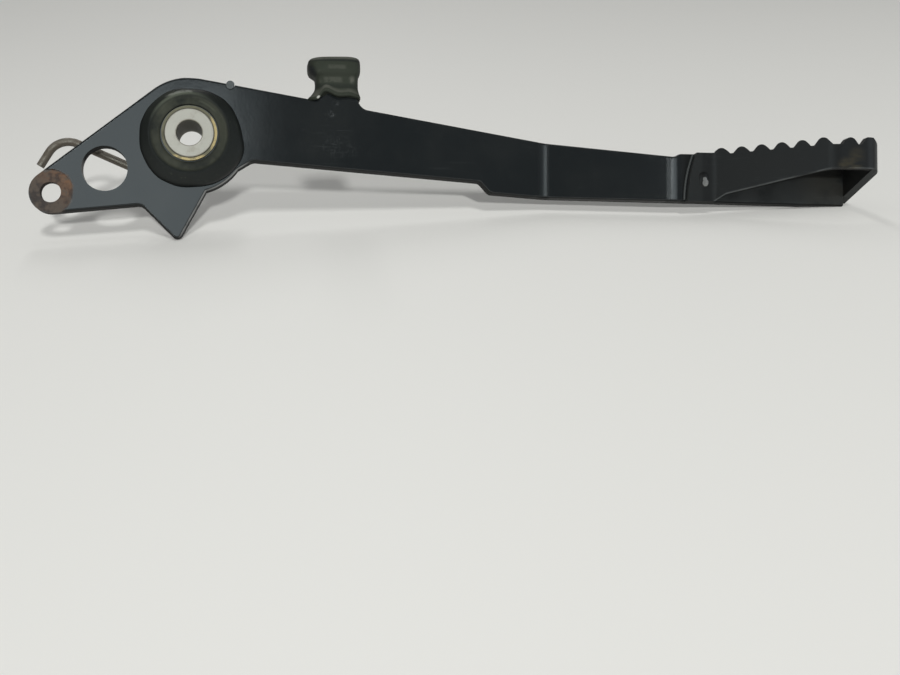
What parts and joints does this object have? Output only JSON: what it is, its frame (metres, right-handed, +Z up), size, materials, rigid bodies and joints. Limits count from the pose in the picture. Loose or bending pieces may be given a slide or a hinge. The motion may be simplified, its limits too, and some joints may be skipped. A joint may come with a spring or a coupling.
{
  "type": "rear brake pedal",
  "caption": "Bent plate foot lever with a bushed pivot, return spring, rubber stop buffer, clevis end and a toothed toe loop, for a motorbike's rear brake.",
  "frame": {"origin": "on the pivot axis, in the middle of the lever plate's thickness", "axes": "+X from the pivot towards the toe, +Z up, -Y towards the outer side, where the boot is"},
  "size_m": [0.2647, 0.0589, 0.0598],
  "materials": {
    "lever_paint": "satin, worn",
    "bush_bronze": "dull",
    "sleeve_steel": "turned",
    "seal_rubber": "matt, dusty",
    "spring_steel": "plated, tarnished",
    "buffer_rubber": "matt"
  },
  "bodies": {
    "pivot": {"pivot_sleeve": "sleeve_steel"},
    "lever": {"lever_arm": "lever_paint", "toe_loop": "lever_paint", "toe_welds": "lever_paint", "pivot_tube": "lever_paint", "pivot_weld": "lever_paint", "front_bush": "bush_bronze", "rear_bush": "bush_bronze", "front_seal": "seal_rubber", "rear_seal": "seal_rubber", "return_spring": "spring_steel", "stop_buffer": "buffer_rubber"}
  },
  "joints": [
    {"name": "pedal_pivot", "type": "hinge", "parent": "pivot", "child": "lever", "pos_m": [0, 0, 0], "axis": [0, 1, 0], "range_deg": [0, 12], "stiffness_Nm_per_rad": 2.2, "springref_deg": -22.92, "deforming": ["return_spring"]}
  ]
}
